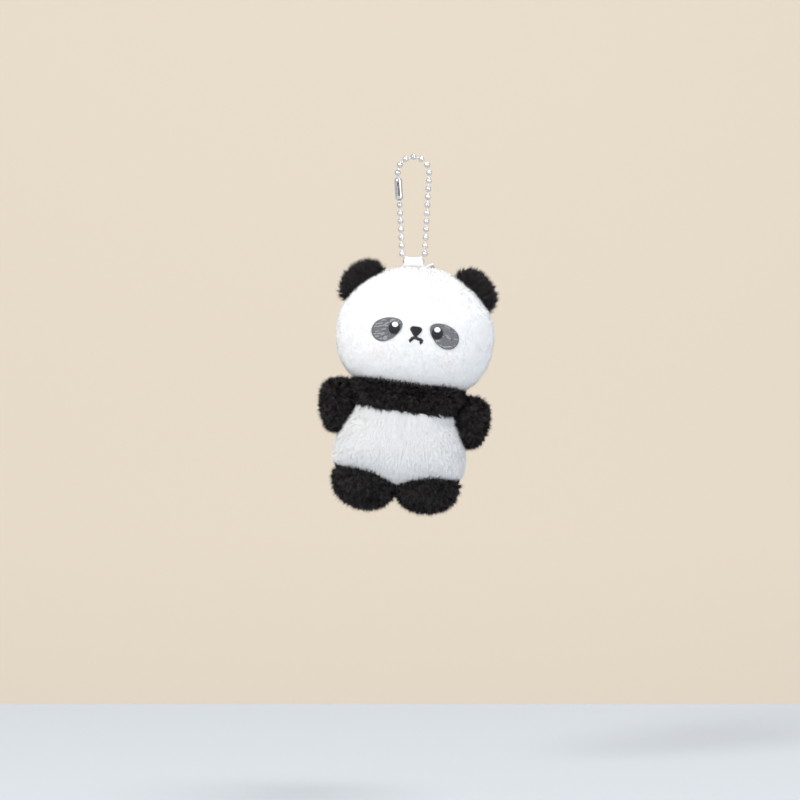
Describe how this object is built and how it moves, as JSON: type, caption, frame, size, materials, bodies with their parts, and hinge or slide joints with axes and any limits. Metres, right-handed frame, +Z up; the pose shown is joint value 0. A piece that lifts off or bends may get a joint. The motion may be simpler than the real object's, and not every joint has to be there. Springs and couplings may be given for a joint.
{
  "type": "plush keychain",
  "caption": "Small stuffed animal toy with embroidered face, soft hinged limbs and ears, hanging by a ribbon loop from a closed ball chain with a snap connector.",
  "frame": {"origin": "the point of the top ball that rests on whatever the chain loop hangs from", "axes": "+Z up, -Y is the side the face looks to, +X to the right as seen from the front"},
  "size_m": [0.0698, 0.0356, 0.1447],
  "materials": {
    "steel": "polished nickel-plated steel",
    "ribbon": "satin ribbon",
    "label": "smooth satin label",
    "white_plush": "short-pile plush",
    "black_plush": "short-pile plush",
    "stuffing": "loose fibre fill",
    "grey_thread": "satin-stitch embroidery",
    "black_thread": "satin-stitch embroidery",
    "white_thread": "satin-stitch embroidery"
  },
  "bodies": {
    "top_ball": {"chain_ball_top": "steel"},
    "chain_arc": {"chain_ball_right_01": "steel", "chain_ball_right_02": "steel", "chain_ball_right_03": "steel", "chain_ball_left_01": "steel", "chain_ball_left_02": "steel", "chain_ball_left_03": "steel"},
    "clasp_run": {"chain_ball_right_04": "steel", "chain_ball_right_05": "steel", "chain_ball_right_06": "steel", "chain_ball_left_04": "steel", "chain_ball_left_06": "steel"},
    "connector": {"chain_connector": "steel"},
    "chain_run_07": {"chain_ball_right_07": "steel", "chain_ball_left_07": "steel"},
    "chain_run_08": {"chain_ball_right_08": "steel", "chain_ball_left_08": "steel"},
    "chain_run_09": {"chain_ball_right_09": "steel", "chain_ball_left_09": "steel"},
    "chain_run_10": {"chain_ball_right_10": "steel", "chain_ball_left_10": "steel"},
    "chain_run_11": {"chain_ball_right_11": "steel", "chain_ball_left_11": "steel"},
    "chain_run_12": {"chain_ball_right_12": "steel", "chain_ball_left_12": "steel"},
    "chain_run_13": {"chain_ball_right_13": "steel", "chain_ball_left_13": "steel"},
    "bottom_run": {"chain_ball_corner_right": "steel", "chain_ball_corner_left": "steel", "chain_ball_bottom": "steel"},
    "ribbon": {"hanging_loop": "ribbon"},
    "toy": {"head_front_panel": "white_plush", "head_back_panel": "white_plush", "head_stuffing": "stuffing", "care_label": "label", "chest_band_front": "black_plush", "chest_band_back": "black_plush", "belly_front_panel": "white_plush", "belly_back_panel": "white_plush", "body_stuffing": "stuffing", "nose": "black_thread", "mouth": "black_thread", "left_eye_patch": "grey_thread", "left_pupil": "black_thread", "left_eye_highlight": "white_thread", "right_eye_patch": "grey_thread", "right_pupil": "black_thread", "right_eye_highlight": "white_thread"},
    "left_ear": {"left_ear_front_panel": "black_plush", "left_ear_back_panel": "black_plush"},
    "left_arm": {"left_arm_cover": "black_plush", "left_arm_stuffing": "stuffing"},
    "left_leg": {"left_leg_cover": "black_plush", "left_leg_stuffing": "stuffing"},
    "right_ear": {"right_ear_front_panel": "black_plush", "right_ear_back_panel": "black_plush"},
    "right_arm": {"right_arm_cover": "black_plush", "right_arm_stuffing": "stuffing"},
    "right_leg": {"right_leg_cover": "black_plush", "right_leg_stuffing": "stuffing"}
  },
  "joints": [
    {"name": "side_swing", "type": "hinge", "parent": "top_ball", "child": "chain_arc", "pos_m": [0, 0, 0.0012], "axis": [0, 1, 0], "range_deg": [-8, 8]},
    {"name": "chain_bend_04", "type": "hinge", "parent": "chain_arc", "child": "clasp_run", "pos_m": [0, 0, -0.00508], "axis": [1, 0, 0], "range_deg": [-9, 9]},
    {"name": "clasp_release", "type": "hinge", "parent": "clasp_run", "child": "connector", "pos_m": [-0.0061, 0, -0.00832], "axis": [1, 0, 0], "range_deg": [0, 40]},
    {"name": "chain_bend_07", "type": "hinge", "parent": "clasp_run", "child": "chain_run_07", "pos_m": [0, 0, -0.01481], "axis": [1, 0, 0], "range_deg": [-9, 9]},
    {"name": "chain_bend_08", "type": "hinge", "parent": "chain_run_07", "child": "chain_run_08", "pos_m": [0, 0, -0.01806], "axis": [1, 0, 0], "range_deg": [-9, 9]},
    {"name": "chain_bend_09", "type": "hinge", "parent": "chain_run_08", "child": "chain_run_09", "pos_m": [0, 0, -0.0213], "axis": [1, 0, 0], "range_deg": [-9, 9]},
    {"name": "chain_bend_10", "type": "hinge", "parent": "chain_run_09", "child": "chain_run_10", "pos_m": [0, 0, -0.02455], "axis": [1, 0, 0], "range_deg": [-9, 9]},
    {"name": "chain_bend_11", "type": "hinge", "parent": "chain_run_10", "child": "chain_run_11", "pos_m": [0, 0, -0.02779], "axis": [1, 0, 0], "range_deg": [-9, 9]},
    {"name": "chain_bend_12", "type": "hinge", "parent": "chain_run_11", "child": "chain_run_12", "pos_m": [0, 0, -0.03104], "axis": [1, 0, 0], "range_deg": [-9, 9]},
    {"name": "chain_bend_13", "type": "hinge", "parent": "chain_run_12", "child": "chain_run_13", "pos_m": [0, 0, -0.03429], "axis": [1, 0, 0], "range_deg": [-9, 9]},
    {"name": "chain_bend_14", "type": "hinge", "parent": "chain_run_13", "child": "bottom_run", "pos_m": [0, 0, -0.03753], "axis": [1, 0, 0], "range_deg": [-9, 9]},
    {"name": "ribbon_swing", "type": "hinge", "parent": "bottom_run", "child": "ribbon", "pos_m": [0, 0, -0.04079], "axis": [1, 0, 0], "range_deg": [-60, 60]},
    {"name": "toy_tilt", "type": "hinge", "parent": "ribbon", "child": "toy", "pos_m": [0, 0, -0.0426], "axis": [0, 1, 0], "range_deg": [-10, 10]},
    {"name": "left_ear_fold", "type": "hinge", "parent": "toy", "child": "left_ear", "pos_m": [-0.0202, 0, -0.04876], "axis": [0.7478, 0, 0.6639], "range_deg": [-22, 22], "stiffness_Nm_per_rad": 0.001},
    {"name": "left_arm_swing", "type": "hinge", "parent": "toy", "child": "left_arm", "pos_m": [-0.02337, 0, -0.09954], "axis": [0.1288, 0, 0.9917], "range_deg": [-18, 18], "stiffness_Nm_per_rad": 0.002},
    {"name": "left_leg_swing", "type": "hinge", "parent": "toy", "child": "left_leg", "pos_m": [-0.00673, 0, -0.12671], "axis": [0.9917, 0, -0.1288], "range_deg": [-14, 14], "stiffness_Nm_per_rad": 0.002},
    {"name": "right_ear_fold", "type": "hinge", "parent": "toy", "child": "right_ear", "pos_m": [0.02422, 0, -0.05256], "axis": [0.6374, 0, -0.7705], "range_deg": [-22, 22], "stiffness_Nm_per_rad": 0.001},
    {"name": "right_arm_swing", "type": "hinge", "parent": "toy", "child": "right_arm", "pos_m": [0.0163, 0, -0.10469], "axis": [0.1288, 0, 0.9917], "range_deg": [-18, 18], "stiffness_Nm_per_rad": 0.002},
    {"name": "right_leg_swing", "type": "hinge", "parent": "toy", "child": "right_leg", "pos_m": [-0.00673, 0, -0.12671], "axis": [0.9917, 0, -0.1288], "range_deg": [-14, 14], "stiffness_Nm_per_rad": 0.002}
  ]
}
